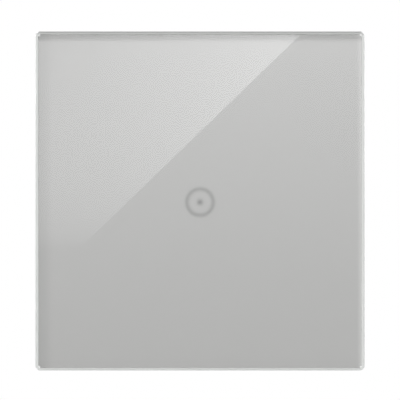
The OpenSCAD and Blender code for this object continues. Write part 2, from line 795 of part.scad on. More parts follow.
module claw() {
    tine_x = body_w / 2 + 1;
    color([0.7, 0.71, 0.73]) difference() {
        union() {
            linear_extrude(height = claw_w, center = true) polygon([
                [ramp_x(claw_y0) + 0.05, claw_y0], [claw_out, claw_y0], [claw_out, claw_y1],
                [ramp_x(claw_y1) + 0.05, claw_y1]]);
            for (y = [claw_y0, claw_y1 - claw_flange])
                block(tine_x, claw_in, y, y + claw_flange, 0.15 - rail_in, rail_in - 0.15);
            for (y = [claw_y0, claw_y0 + 1.6, claw_y0 + 3.2])
                linear_extrude(height = claw_w, center = true) polygon([[claw_out - 0.2, y],
                    [claw_out, y], [claw_out + 0.6, y + 0.1], [claw_out, y + 1.3],
                    [claw_out - 0.2, y + 1.3]]);
        }
        block(body_w / 2, claw_in, claw_y0 + claw_flange, claw_y1 - claw_flange,
            0.15 - rail_in, rail_in - 0.15);
        block(body_w / 2, claw_x + claw_screw_r + 0.3, claw_y0 - 1, claw_y1 + 1,
            -claw_screw_r - 0.2, claw_screw_r + 0.2);
    }
}

// Terminal pieces are drawn above the rear face of the power board, one pitch apart.
module at_terminal(i) {
    translate([(i - 2) * term_pitch, power_rear, 0]) children();
}

module terminal_block(i) {
    color([0.3, 0.31, 0.33]) at_terminal(i) difference() {
        block(-block_w / 2, block_w / 2, 0, term_h, term_out, term_in);
        block(-3, 3, -1, 10.3, term_out + wire_wall, term_in - 1);
        rod(term_screw_r + 0.2, 9, 12, 0, term_z);
        rod(2.6, 11, term_h + 1, 0, term_z);
        translate([0, wire_h, term_out - 1]) cylinder(r = wire_r, h = wire_wall + 2);
        translate([0, wire_h, term_out - 0.1])
            cylinder(r1 = wire_r + 0.5, r2 = wire_r, h = 0.5);
    }
}

module terminal_bars() {
    color([0.82, 0.68, 0.36]) for (i = [1:3]) at_terminal(i) {
        block(-1.5, 1.5, 4.8, 5.6, term_out + 1.8, term_out + 9.5);
        block(-1.5, 1.5, -power_t - 0.7, 5.6, term_out + 8.7, term_out + 9.5);
    }
}

module terminal_screw(i) {
    color([0.8, 0.8, 0.82]) at_terminal(i) translate([0, 0, term_z]) difference() {
        union() {
            rod(term_screw_r, 5.75, 11.1);
            rod(2.4, 11, 12.2);
        }
        block(-1.7, 1.7, 11.6, 13, -0.35, 0.35);
        block(-0.35, 0.35, 11.6, 13, -1.7, 1.7);
    }
}

module terminal_cage(i) {
    color([0.76, 0.74, 0.66]) at_terminal(i) translate([0, 0, term_z]) difference() {
        block(-2.8, 2.8, 0.8, 7.5, -3, 3);
        block(-1.9, 1.9, 1.8, 5.9, -4, 4);
        rod(term_screw_r + 0.05, 5, 9);
    }
}

glass_panel();
back_lacquer();
icon_ring_window();
icon_dot_window();
adhesive_frame();
panel_carrier();
mounting_plate();
module_housing();
module_screws();
front_cover();
sensor_board();
sensor_screws();
touch_spring();
electrode_ring();
light_guide();
indicator_leds();
touch_chip();
sensor_passives();
board_header();
header_pins();
board_socket();
power_board();
power_screws();
converter_chip();
bridge_rectifier();
filter_capacitor();
bulk_capacitor();
fuse();
varistor();
inductor();
relay_base();
relay_cover();
relay_coil();
relay_yoke();
relay_fixed_contact();
relay_armature();
relay_moving_contact();
mirror([1, 0, 0]) claw_guide();  // claw_guide_left
claw_guide();  // claw_guide_right
mirror([1, 0, 0]) claw_screw();  // claw_screw_left
claw_screw();  // claw_screw_right
mirror([1, 0, 0]) claw_clip();  // claw_clip_left
claw_clip();  // claw_clip_right
mirror([1, 0, 0]) claw_nut();  // claw_nut_left
claw_nut();  // claw_nut_right
mirror([1, 0, 0]) claw();  // claw_left
claw();  // claw_right
terminal_block(1);  // terminal_block_1
terminal_block(2);  // terminal_block_2
terminal_block(3);  // terminal_block_3
terminal_bars();
terminal_screw(1);  // terminal_screw_1
terminal_screw(2);  // terminal_screw_2
terminal_screw(3);  // terminal_screw_3
terminal_cage(1);  // terminal_cage_1
terminal_cage(2);  // terminal_cage_2
terminal_cage(3);  // terminal_cage_3
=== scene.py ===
"""Looks of the touch light switch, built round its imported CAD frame.

Metres, in the frame of the part: X to the right, Y into the wall, Z up. The wall plane is Y = 0.
Lengths in the fields of finishes and sub-assemblies are in millimetres, and those of the studio in metres
unless it says otherwise.
"""
import json
import logging
import math
from dataclasses import dataclass
from enum import Enum
from typing import Any, ClassVar, Iterable, Optional, Sequence, Union

import bmesh
import bpy
from bpy.types import Material, Mesh, Node, NodeSocket as Socket, NodeTree, Object
from mathutils import Color, Matrix, Vector


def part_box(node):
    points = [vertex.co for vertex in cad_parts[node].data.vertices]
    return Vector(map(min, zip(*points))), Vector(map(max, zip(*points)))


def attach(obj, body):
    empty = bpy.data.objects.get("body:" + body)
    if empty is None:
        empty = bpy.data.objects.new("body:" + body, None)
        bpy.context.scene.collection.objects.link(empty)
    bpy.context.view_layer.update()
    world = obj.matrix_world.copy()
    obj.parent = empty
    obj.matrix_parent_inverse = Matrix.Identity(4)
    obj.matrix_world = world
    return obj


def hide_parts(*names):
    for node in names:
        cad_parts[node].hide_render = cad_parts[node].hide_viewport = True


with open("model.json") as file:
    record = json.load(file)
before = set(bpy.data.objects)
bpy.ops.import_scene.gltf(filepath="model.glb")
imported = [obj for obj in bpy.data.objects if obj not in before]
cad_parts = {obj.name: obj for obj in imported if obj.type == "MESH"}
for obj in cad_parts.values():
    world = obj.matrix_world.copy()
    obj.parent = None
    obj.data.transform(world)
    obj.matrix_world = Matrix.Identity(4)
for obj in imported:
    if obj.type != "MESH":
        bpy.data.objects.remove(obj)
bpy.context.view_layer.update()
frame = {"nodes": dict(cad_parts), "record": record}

LOG = logging.getLogger("touch_switch")
MM = 0.001
MERGE_DISTANCE = 1e-6
FLAT_ANGLE = math.radians(0.6)
SHARP_ANGLE = math.radians(32)
QUARTER_TURN = math.radians(90)
GLASS_IOR = 1.5
NUMBER = "NodeSocketFloat"
COUNT = "NodeSocketInt"
VECTOR = "NodeSocketVector"
COLOUR = "NodeSocketColor"
Rgb = tuple[float, float, float]
Band = tuple[float, float, float]
NODE_BODY: dict[str, str] = {
    node: body for body, nodes in frame["record"]["behaviour"]["bodies"].items() for node in nodes
}


def tone(red: int, green: int, blue: int) -> Rgb:
    """Linear colour of a tone given in screen values, 0 to 255."""
    return tuple(Color((red / 255, green / 255, blue / 255)).from_srgb_to_scene_linear())


class NodeGraph:
    """Builder for one node tree."""

    def __init__(self, tree: NodeTree) -> None:
        """Takes the tree that nodes are added to."""
        self.tree = tree

    def feed(self, socket: Socket, value: Any) -> None:
        """Links a socket to an output, or fills it with a value.

        Args:
            socket: The input socket.
            value: The output that feeds it, or the value.
        """
        if isinstance(value, Socket):
            self.tree.links.new(value, socket)
        else:
            socket.default_value = value

    def add(self, kind: str, inputs: Optional[dict[Union[str, int], Any]] = None,
            **settings: Any) -> Node:
        """Adds a node, sets its properties, and links or fills its inputs.

        Args:
            kind: Blender's name of the node type.
            inputs: Socket name or number to a value, or to the output that feeds it.
            **settings: Node properties.

        Returns:
            The node.
        """
        node = self.tree.nodes.new(kind)
        for name, value in settings.items():
            setattr(node, name, value)
        for key, value in (inputs or {}).items():
            self.feed(node.inputs[key], value)
        return node

    def math(self, operation: str, *values: Any) -> Socket:
        """Output of a Math node over the given values or sockets."""
        return self.add("ShaderNodeMath", dict(enumerate(values)), operation=operation).outputs[0]

    def blend(self, first: Socket, second: Socket, share: float) -> Socket:
        """First pattern by a share, and second pattern by what is left."""
        return self.math("MULTIPLY_ADD", first, share, self.math("MULTIPLY", second, 1 - share))

    def noise(self, place: Socket, scale: Any, detail: float) -> Socket:
        """Noise from 0 to 1 over a place."""
        inputs = {"Vector": place, "Scale": scale, "Detail": detail}
        return self.add("ShaderNodeTexNoise", inputs).outputs[0]

    def ramp(self, value: Any, start: float, end: float, first: float = 0.0, last: float = 1.0,
             shape: str = "LINEAR") -> Socket:
        """Number from first to last as a value goes from start to end, held outside them."""
        limits = {"Value": value, "From Min": start, "From Max": end, "To Min": first, "To Max": last}
        return self.add("ShaderNodeMapRange", limits, interpolation_type=shape).outputs[0]

    def axes(self, place: Socket) -> Sequence[Socket]:
        """X, Y and Z of a place."""
        return self.add("ShaderNodeSeparateXYZ", {0: place}).outputs

    def length(self, parts: dict[Union[str, int], Socket]) -> Socket:
        """Length of a vector made from some of its axes."""
        flat = self.add("ShaderNodeCombineXYZ", parts).outputs[0]
        return self.add("ShaderNodeVectorMath", {0: flat}, operation="LENGTH").outputs["Value"]

    def scaled(self, colour: Socket, share: Socket) -> Socket:
        """Colour times a share."""
        return self.add("ShaderNodeVectorMath", {0: colour, "Scale": share}, operation="SCALE").outputs[0]


class MaterialGraph(NodeGraph):
    """Builder for a material that ends in one Principled shader."""

    def __init__(self, name: str) -> None:
        """Starts a material with a shader, an output and Object coordinates.

        Args:
            name: Name of the material.
        """
        self.material = bpy.data.materials.new(name)
        self.material.use_nodes = True
        super().__init__(self.material.node_tree)
        self.tree.nodes.clear()
        self.shader = self.add("ShaderNodeBsdfPrincipled")
        self.output = self.add("ShaderNodeOutputMaterial", {"Surface": self.shader.outputs[0]})
        self.place = self.add("ShaderNodeTexCoord").outputs["Object"]

    def set(self, **inputs: Any) -> None:
        """Fills or links the shader's sockets; an underscore in a name stands for a space."""
        for name, value in inputs.items():
            self.feed(self.shader.inputs[name.replace("_", " ")], value)

    def group(self, tree: NodeTree, **inputs: Any) -> Node:
        """Places a shared effect, with its own values, on Object coordinates."""
        return self.add("ShaderNodeGroup", {"Vector": self.place, **inputs}, node_tree=tree)

    def wear(self, effect: Node, **inputs: Any) -> None:
        """Takes colour and roughness from a shared effect, and other sockets as given."""
        taken = {"Base_Color": effect.outputs["Color"], "Roughness": effect.outputs["Roughness"]}
        self.set(**{**taken, **inputs})

    def bump(self, height: Socket, depth: float) -> None:
        """Raises the surface by a height, with its depth in millimetres."""
        node = self.add("ShaderNodeBump", {"Strength": 1.0, "Distance": depth * MM, "Height": height})
        self.set(Normal=node.outputs[0])

    def show(self, shader: Node) -> None:
        """Makes another shader node the surface."""
        self.tree.links.new(shader.outputs[0], self.output.inputs["Surface"])

    def clear_by(self, share: Socket) -> None:
        """Makes the surface transparent by a share."""
        clear = self.add("ShaderNodeBsdfTransparent").outputs[0]
        self.show(self.add("ShaderNodeMixShader", {0: share, 1: self.shader.outputs[0], 2: clear}))

    def pass_lamp_light(self) -> None:
        """Lets the lamps light what lies behind the surface."""
        path = self.add("ShaderNodeLightPath").outputs
        self.clear_by(self.math("MAXIMUM", path["Is Shadow Ray"], path["Is Diffuse Ray"]))


class EffectGraph(NodeGraph):
    """Builder for a shader node group that varies tone, roughness and height over a surface."""

    def __init__(self, name: str, **more: str) -> None:
        """Starts a group.

        Args:
            name: Name of the group.
            **more: Inputs that it has beside the usual ones, name to socket type.
        """
        super().__init__(bpy.data.node_groups.new(name, "ShaderNodeTree"))
        inputs = {"Vector": VECTOR, "Tone": COLOUR, "Grain": NUMBER, "Contrast": NUMBER, "Rough": NUMBER,
                  "Spread": NUMBER, **more}
        outputs = {"Color": COLOUR, "Roughness": NUMBER, "Height": NUMBER}
        for way, sockets in (("INPUT", inputs), ("OUTPUT", outputs)):
            for socket, kind in sockets.items():
                self.tree.interface.new_socket(name=socket, in_out=way, socket_type=kind)
        self.given = self.add("NodeGroupInput").outputs

    def swing(self, pattern: Socket, width: Socket, middle: Any) -> Socket:
        """Pattern from 0 to 1 made to swing round a middle by a width."""
        return self.math("MULTIPLY_ADD", self.math("SUBTRACT", pattern, 0.5), width, middle)

    def close(self, level: Socket, rough: Socket, height: Socket) -> NodeTree:
        """Ends the group.

        Args:
            level: Pattern that makes the tone lighter and darker.
            rough: Pattern that moves the roughness.
            height: Pattern that raises the surface.

        Returns:
            The group.
        """
        given = self.given
        self.add("NodeGroupOutput", {
            "Color": self.scaled(given["Tone"], self.swing(level, given["Contrast"], 1.0)),
            "Roughness": self.swing(rough, given["Spread"], given["Rough"]),
            "Height": height})
        return self.tree


def moulded_grain() -> NodeTree:
    """Group for moulded and painted surfaces: fine grain over a broad, faint change of tone.

    Returns:
        The group.
    """
    broad_size = 0.03
    fine_share = 0.35
    graph = EffectGraph("moulded_grain")
    place, grain = graph.given["Vector"], graph.given["Grain"]
    fine = graph.noise(place, grain, detail=3.0)
    broad = graph.noise(place, graph.math("MULTIPLY", grain, broad_size), detail=2.0)
    return graph.close(graph.blend(fine, broad, fine_share), fine, fine)


def metal_bloom() -> NodeTree:
    """Group for plated metal: crystal bloom, drawn streaks and rubbed patches.

    Returns:
        The group.
    """
    crystal_size = 0.35
    rub_size = 0.06
    streak_in_tone = 0.5
    streak_in_rough = 0.4
    graph = EffectGraph("metal_bloom", Stretch=VECTOR)
    place, grain = graph.given["Vector"], graph.given["Grain"]
    drawn = graph.add("ShaderNodeVectorMath", {0: place, 1: graph.given["Stretch"]}, operation="MULTIPLY")
    streak = graph.noise(drawn.outputs[0], grain, detail=4.0)
    cell_scale = graph.math("MULTIPLY", grain, crystal_size)
    cells = graph.add("ShaderNodeTexVoronoi", {"Vector": place, "Scale": cell_scale})
    crystal = graph.add("ShaderNodeSeparateColor", {0: cells.outputs["Color"]}).outputs[0]
    rubbed = graph.noise(place, graph.math("MULTIPLY", grain, rub_size), detail=2.0)
    level = graph.blend(streak, crystal, streak_in_tone)
    return graph.close(level, graph.blend(streak, rubbed, streak_in_rough), streak)


MOULDED = moulded_grain()
PLATED = metal_bloom()


@dataclass(frozen=True)
class Finish:
    """A surface finish that makes its material once."""

    name: str
    colour: Rgb
    made: ClassVar[dict[str, Material]] = {}

    def material(self) -> Material:
        """The finish as a material.

        Returns:
            The material, the same one each time.
        """
        if self.name not in self.made:
            graph = MaterialGraph(self.name)
            self.paint(graph)
            self.made[self.name] = graph.material
        return self.made[self.name]

    def paint(self, graph: MaterialGraph) -> None:
        """Adds the finish's own nodes to a material's builder."""
        raise NotImplementedError(self.name)


@dataclass(frozen=True)
class MouldedFinish(Finish):
    """Moulded, dipped or painted surface with a fine grain."""

    rough: float = 0.5
    grain: float = 2600.0
    contrast: float = 0.10
    depth: float = 0.012
    coat: float = 0.0

    def paint(self, graph: MaterialGraph) -> None:
        """Adds the finish's nodes.

        Args:
            graph: Builder of the material.
        """
        grain = graph.group(MOULDED, Tone=(*self.colour, 1), Grain=self.grain, Contrast=self.contrast,
                            Rough=self.rough, Spread=0.18)
        graph.wear(grain, Coat_Weight=self.coat, Coat_Roughness=0.12)
        graph.bump(grain.outputs["Height"], self.depth)


class Drawn(Enum):
    """Which way the working of a metal surface runs, as a stretch of its pattern."""

    ROLLED = (0.35, 1.0, 1.0)
    TURNED = (1.0, 6.0, 1.0)
    PLAIN = (1.0, 1.0, 1.0)


@dataclass(frozen=True)
class MetalFinish(Finish):
    """Plated, rolled or turned metal."""

    rough: float = 0.3
    grain: float = 1500.0
    contrast: float = 0.22
    depth: float = 0.004
    drawn: Drawn = Drawn.PLAIN

    def paint(self, graph: MaterialGraph) -> None:
        """Adds the finish's nodes.

        Args:
            graph: Builder of the material.
        """
        bloom = graph.group(PLATED, Tone=(*self.colour, 1), Grain=self.grain, Contrast=self.contrast,
                            Rough=self.rough, Spread=0.3, Stretch=self.drawn.value)
        graph.wear(bloom, Metallic=1.0)
        graph.bump(bloom.outputs["Height"], self.depth)


@dataclass(frozen=True)
class ClearGlassFinish(Finish):
    """Polished glass that lets lamp light through to what is behind it."""

    smudge: float = 0.012
    smudge_scale: float = 55.0

    def paint(self, graph: MaterialGraph) -> None:
        """Adds the finish's nodes.

        Args:
            graph: Builder of the material.
        """
        film = graph.noise(graph.place, self.smudge_scale, detail=3.0)
        graph.set(Base_Color=(*self.colour, 1), Roughness=graph.math("MULTIPLY", film, self.smudge),
                  IOR=GLASS_IOR, Transmission_Weight=1.0)
        graph.pass_lamp_light()


@dataclass(frozen=True)
class GroundGlassFinish(Finish):
    """Ground edge of the glass: frosted, with fine wheel marks, and painted shade where it faces up.

    The painted shade starts on faces whose normal reaches one height, and is full from the other.
    """

    rough: float = 0.5
    clear: float = 0.1
    depth: float = 0.006
    # Painted shade: share by which the faces that look upwards are darkened.
    top_face_shade: float = 0.3
    top_face_shade_heights: tuple[float, float] = (0.78, 0.92)

    def paint(self, graph: MaterialGraph) -> None:
        """Adds the finish's nodes.

        Args:
            graph: Builder of the material.
        """
        upward = graph.axes(graph.add("ShaderNodeTexCoord").outputs["Normal"])[2]
        # Painted shade: faces that look upwards keep only part of their colour.
        clean = graph.ramp(upward, *self.top_face_shade_heights, first=1.0, last=1 - self.top_face_shade)
        grain = graph.group(MOULDED, Tone=(*self.colour, 1), Grain=4200.0, Contrast=0.06, Rough=self.rough,
                            Spread=0.12)
        graph.wear(grain, Base_Color=graph.scaled(grain.outputs["Color"], clean), IOR=GLASS_IOR,
                   Transmission_Weight=self.clear, Specular_IOR_Level=0.05)
        graph.bump(grain.outputs["Height"], self.depth)
        graph.pass_lamp_light()


@dataclass(frozen=True)
class LacquerFinish(Finish):
    """Grey lacquer behind the glass, with a soft print of the icon, painted shade in soft bands along its
    left and top edges and faintly at its foot, and painted light in a band along its right edge.

    Each band holds the share of light that is lost, below zero where light is painted on, how far that stays
    the same, and where it ends.
    """

    half_width: float = 41.9
    half_height: float = 43.15
    middle: float = 0.3
    # Painted shade at the left, top and foot edges; painted light at the right edge, by its share below
    # zero.
    left: Band = (0.125, 0.6, 4.2)
    right: Band = (-0.25, 0.0, 1.45)
    top: Band = (0.38, 0.6, 2.4)
    foot: Band = (0.02, 0.0, 3.5)
    ring_r: float = 3.4
    ring_print: Band = (0.30, 0.0, 1.0)
    dot_print: Band = (0.45, 0.0, 1.4)

    def paint(self, graph: MaterialGraph) -> None:
        """Adds the finish's nodes.

        Args:
            graph: Builder of the material.
        """
        axes = graph.axes(graph.place)
        rise = graph.math("SUBTRACT", axes[2], self.middle * MM)
        radius = graph.length({0: axes[0], 2: axes[2]})
        off_ring = graph.math("ABSOLUTE", graph.math("SUBTRACT", radius, self.ring_r * MM))

        def inward(spot: Socket, way: float, half: float) -> Socket:
            """Distance from an edge of the lacquer."""
            return graph.math("MULTIPLY_ADD", spot, way, half * MM)

        # The edge bands paint shade and light into the colour; the ring and dot bands are print.
        print_and_painted_light_keep: Any = 1.0
        for distance, (share, level, reach) in (
                (inward(axes[0], 1.0, self.half_width), self.left),
                (inward(axes[0], -1.0, self.half_width), self.right),
                (inward(rise, -1.0, self.half_height), self.top),
                (inward(rise, 1.0, self.half_height), self.foot),
                (off_ring, self.ring_print), (radius, self.dot_print)):
            print_and_painted_light_drop = graph.ramp(distance, level * MM, reach * MM, first=share, last=0.0, shape="SMOOTHSTEP")
            print_and_painted_light_keep = graph.math("SUBTRACT", print_and_painted_light_keep, print_and_painted_light_drop)
        grain = graph.group(MOULDED, Tone=(*self.colour, 1), Grain=1800.0, Contrast=0.012, Rough=0.45,
                            Spread=0.1)
        graph.wear(grain, Base_Color=graph.scaled(grain.outputs["Color"], print_and_painted_light_keep), Specular_IOR_Level=0.0)


@dataclass(frozen=True)
class BoardFinish(Finish):
    """Solder mask over copper tracks that turn at right angles and on the slant, with tinned spots.

    The edges of tracks and spots are the pattern values where they start and where they are full.
    """

    track: Rgb
    tin: Rgb
    tracks: float = 300.0
    track_edge: tuple[float, float] = (0.10, 0.07)
    track_height: float = 0.02
    spots: float = 260.0
    spot_edge: tuple[float, float] = (0.12, 0.09)
    spot_scatter: float = 0.8

    def paint(self, graph: MaterialGraph) -> None:
        """Adds the finish's nodes.

        Args:
            graph: Builder of the material.
        """
        plan = graph.add("ShaderNodeVectorMath", {0: graph.place, 1: (1.0, 0.0, 1.0)},
                         operation="MULTIPLY").outputs[0]
        near, next_near = (graph.add("ShaderNodeTexVoronoi", {"Vector": plan, "Scale": self.tracks},
                                     feature=feature, distance="CHEBYCHEV").outputs["Distance"]
                           for feature in ("F1", "F2"))
        copper = graph.ramp(graph.math("SUBTRACT", next_near, near), *self.track_edge)
        dots = graph.add("ShaderNodeTexVoronoi", {"Vector": plan, "Scale": self.spots,
                                                  "Randomness": self.spot_scatter})
        tinned = graph.ramp(dots.outputs["Distance"], *self.spot_edge)
        colour: Any = (*self.colour, 1)
        for share, print_colour in ((copper, self.track), (tinned, self.tin)):
            colour = graph.add("ShaderNodeMix", {"Factor": share, "A": colour, "B": (*print_colour, 1)},
                               data_type="RGBA").outputs["Result"]
        grain = graph.group(MOULDED, Tone=colour, Grain=1900.0, Contrast=0.12, Rough=0.36, Spread=0.16)
        graph.wear(grain, Metallic=tinned, Coat_Weight=0.3, Coat_Roughness=0.1)
        graph.bump(copper, self.track_height)


@dataclass(frozen=True)
class ClearPlasticFinish(Finish):
    """Clear or milky moulded plastic."""

    clear: float = 0.6
    rough: float = 0.16

    def paint(self, graph: MaterialGraph) -> None:
        """Adds the finish's nodes.

        Args:
            graph: Builder of the material.
        """
        grain = graph.group(MOULDED, Tone=(*self.colour, 1), Grain=700.0, Contrast=0.05, Rough=self.rough,
                            Spread=0.1)
        graph.wear(grain, IOR=1.49, Transmission_Weight=self.clear)


GLASS = ClearGlassFinish("polished_glass", (0.975, 0.98, 0.975))
GROUND_EDGE = GroundGlassFinish("ground_glass_edge", tone(229, 231, 229))
LACQUER = LacquerFinish("grey_lacquer", tone(179, 179, 178))
FOAM = MouldedFinish("foam_tape", tone(52, 52, 55), rough=0.9, grain=5200.0, contrast=0.5, depth=0.05)
CARRIER = MouldedFinish("carrier_plastic", tone(206, 207, 208), rough=0.48)
HOUSING = MouldedFinish("housing_plastic", tone(222, 222, 217), rough=0.46, contrast=0.08)
DARK = MouldedFinish("dark_plastic", tone(52, 52, 55), rough=0.55, contrast=0.25, depth=0.02)
TERMINAL = MouldedFinish("terminal_plastic", tone(88, 90, 95), contrast=0.16)
CHIP = MouldedFinish("chip_epoxy", tone(38, 38, 40), rough=0.6, grain=5000.0, contrast=0.3)
CERAMIC = MouldedFinish("ceramic_parts", tone(172, 158, 132), rough=0.42, contrast=0.2)
FILM = MouldedFinish("film_case", tone(214, 172, 42), rough=0.35, contrast=0.12, coat=0.2)
SLEEVE = MouldedFinish("shrink_sleeve", tone(48, 50, 58), rough=0.3, contrast=0.2, coat=0.4)
FUSE_CASE = MouldedFinish("fuse_case", tone(92, 62, 48), rough=0.45, contrast=0.16)
DIPPED = MouldedFinish("dipped_epoxy", tone(48, 96, 160), rough=0.38, contrast=0.14, depth=0.03, coat=0.3)
FERRITE = MouldedFinish("ferrite_core", tone(74, 74, 78), contrast=0.2)
BOBBIN = MouldedFinish("bobbin_plastic", tone(226, 224, 214), rough=0.45)
RELAY_CASE = MouldedFinish("relay_case", tone(58, 102, 164), rough=0.4)
ZINC = MetalFinish("zinc_plate", tone(206, 209, 212), rough=0.34, grain=700.0, drawn=Drawn.ROLLED)
SCREW_STEEL = MetalFinish("screw_steel", tone(214, 214, 214), rough=0.26, drawn=Drawn.TURNED)
NUT_STEEL = MetalFinish("yellow_zinc", tone(210, 200, 160), rough=0.32)
CLAW_STEEL = MetalFinish("claw_steel", tone(194, 196, 199), rough=0.36, grain=1100.0)
BRASS = MetalFinish("brass", tone(214, 182, 108), rough=0.24, contrast=0.16)
SPRING = MetalFinish("gold_plated_wire", tone(226, 196, 128), rough=0.2, contrast=0.1)
NICKEL = MetalFinish("nickel_iron", tone(196, 197, 199))
COPPER = MetalFinish("enamelled_copper", tone(184, 104, 62), rough=0.28, contrast=0.16)
BOARD = BoardFinish("solder_mask", tone(18, 92, 56), tone(40, 126, 78), tone(200, 202, 200))
LIGHT_PIPE = ClearPlasticFinish("light_pipe", (0.93, 0.94, 0.95))
LED_CAP = ClearPlasticFinish("led_cap", tone(236, 226, 170), clear=0.2, rough=0.3)


def linked(obj: Object) -> Object:
    """Puts an object into the scene."""
    bpy.context.scene.collection.objects.link(obj)
    return obj


def object_of(name: str, mesh: Mesh) -> Object:
    """Object at the origin that shows a mesh."""
    return linked(bpy.data.objects.new(name, mesh))


def mesh_of(name: str, bm: bmesh.types.BMesh) -> Mesh:
    """Turns working geometry into a mesh.

    Args:
        name: Name of the mesh.
        bm: The working geometry, which is freed.

    Returns:
        The mesh.
    """
    mesh = bpy.data.meshes.new(name)
    bm.to_mesh(mesh)
    bm.free()
    return mesh


def evaluated(obj: Object) -> Mesh:
    """New plain mesh of an object as its modifiers or its text settings make it."""
    bpy.context.view_layer.update()
    return bpy.data.meshes.new_from_object(obj.evaluated_get(bpy.context.evaluated_depsgraph_get()))


def baked(obj: Object) -> Object:
    """Turns an object with modifiers into a plain mesh.

    Args:
        obj: The object.

    Returns:
        The same object, with its modifiers removed and their result in its mesh.
    """
    result = evaluated(obj)
    obj.modifiers.clear()
    old = obj.data
    obj.data = result
    bpy.data.meshes.remove(old)
    result.name = obj.name
    return obj


def copied(node: str, name: str) -> Object:
    """Copy of a CAD node with its triangles merged into plain faces.

    Args:
        node: The CAD node.
        name: Name of the new piece.

    Returns:
        The new object.
    """
    mesh = frame["nodes"][node].data.copy()
    mesh.materials.clear()
    bm = bmesh.new()
    bm.from_mesh(mesh)
    bmesh.ops.remove_doubles(bm, verts=bm.verts, dist=MERGE_DISTANCE)
    bmesh.ops.dissolve_limit(bm, angle_limit=FLAT_ANGLE, verts=bm.verts, edges=bm.edges)
    bm.to_mesh(mesh)
    bm.free()
    mesh.name = name
    return object_of(name, mesh)


def softened(obj: Object, width: float) -> Object:
    """Rounds the sharp edges of a piece.

    Args:
        obj: The piece.
        width: Width of the rounding in millimetres; nothing is rounded at 0.

    Returns:
        The same object, as a plain mesh.
    """
    obj.data.polygons.foreach_set("use_smooth", [True] * len(obj.data.polygons))
    obj.data.set_sharp_from_angle(angle=SHARP_ANGLE)
    if width > 0:
        rounding = obj.modifiers.new("rounding", "BEVEL")
        rounding.width = width * MM
        rounding.segments = 2
        rounding.limit_method = "ANGLE"
        rounding.angle_limit = SHARP_ANGLE
        rounding.use_clamp_overlap = True
        rounding.harden_normals = True
        baked(obj)
    return obj


def worn(obj: Object, finish: Finish) -> Object:
    """Gives a piece one finish all over.

    Args:
        obj: The piece.
        finish: The finish.

    Returns:
        The same object.
    """
    obj.data.materials.clear()
    obj.data.materials.append(finish.material())
    return obj


def joined(name: str, parts: Iterable[Object]) -> Object:
    """Joins plain meshes into one new object.

    Args:
        name: Name of the new object.
        parts: The objects, which are removed.

    Returns:
        The new object.
    """
    bm = bmesh.new()
    for part in list(parts):
        bm.from_mesh(part.data)
        bpy.data.objects.remove(part)
    return object_of(name, mesh_of(name, bm))


class GeometryGraph(NodeGraph):
    """Builder for a Geometry Nodes tree with named sizes."""

    def __init__(self, name: str, inputs: dict[str, str]) -> None:
        """Starts a tree.

        Args:
            name: Name of the tree.
            inputs: Input name to socket type.
        """
        super().__init__(bpy.data.node_groups.new(name, "GeometryNodeTree"))
        face = self.tree.interface
        for way in ("INPUT", "OUTPUT"):
            face.new_socket(name="Geometry", in_out=way, socket_type="NodeSocketGeometry")
        self.keys = {n: face.new_socket(name=n, in_out="INPUT", socket_type=kind).identifier
                     for n, kind in {**inputs, "Material": "NodeSocketMaterial"}.items()}
        self.given = self.add("NodeGroupInput").outputs

    def swept(self, line: Node, sides: Any, radius: Socket) -> Socket:
        """Closed bar of a number of sides and a radius, along the curve that a node gives."""
        ring = self.add("GeometryNodeCurvePrimitiveCircle", {"Resolution": sides, "Radius": radius})
        return self.add("GeometryNodeCurveToMesh", {
            "Curve": line.outputs[0], "Profile Curve": ring.outputs[0], "Fill Caps": True}).outputs[0]

    def close(self, geometry: Socket) -> "GeometryGraph":
        """Realizes the geometry, gives it the material and ends the tree.

        Args:
            geometry: What the tree has made.

        Returns:
            This builder.
        """
        real = self.add("GeometryNodeRealizeInstances", {0: geometry}).outputs[0]
        dressed = self.add("GeometryNodeSetMaterial", {
            "Geometry": real, "Material": self.given["Material"]})
        self.add("NodeGroupOutput", {0: dressed.outputs[0]})
        return self

    def make(self, name: str, finish: Finish, mesh: Optional[Mesh] = None,
             **sizes: Any) -> Object:
        """Runs the tree once.

        Args:
            name: Name of the object.
            finish: Finish that the tree sets.
            mesh: Mesh that the tree starts from, if any.
            **sizes: Named inputs.

        Returns:
            The object as a plain mesh.
        """
        obj = object_of(name, mesh or bpy.data.meshes.new(name))
        modifier = obj.modifiers.new(name, "NODES")
        modifier.node_group = self.tree
        modifier[self.keys["Material"]] = finish.material()
        for key, value in sizes.items():
            modifier[self.keys[key]] = value
        return baked(obj)


def helix_tree() -> GeometryGraph:
    """Tree for a ridge or a wire wound round an axis along Y, as on a screw or a coil.

    Returns:
        The tree's builder.
    """
    graph = GeometryGraph("wound_helix", {
        "Turns": NUMBER, "Radius": NUMBER, "Length": NUMBER, "Ridge": NUMBER, "Sides": COUNT,
        "Foot": VECTOR})
    given = graph.given
    helix = graph.add("GeometryNodeCurveSpiral", {
        "Resolution": 20, "Rotations": given["Turns"], "Start Radius": given["Radius"],
        "End Radius": given["Radius"], "Height": given["Length"]})
    placed = graph.add("GeometryNodeTransform", {
        "Geometry": graph.swept(helix, given["Sides"], given["Ridge"]), "Translation": given["Foot"],
        "Rotation": (-QUARTER_TURN, 0.0, 0.0)})
    return graph.close(placed.outputs[0])


def wire_tree() -> GeometryGraph:
    """Tree for round wire that follows a line of edges.

    Returns:
        The tree's builder.
    """
    round_sides = 12
    graph = GeometryGraph("round_wire", {"Radius": NUMBER})
    line = graph.add("GeometryNodeMeshToCurve", {0: graph.given["Geometry"]})
    wire = graph.swept(line, round_sides, graph.given["Radius"])
    smooth = graph.add("GeometryNodeSetShadeSmooth", {"Geometry": wire})
    return graph.close(smooth.outputs[0])


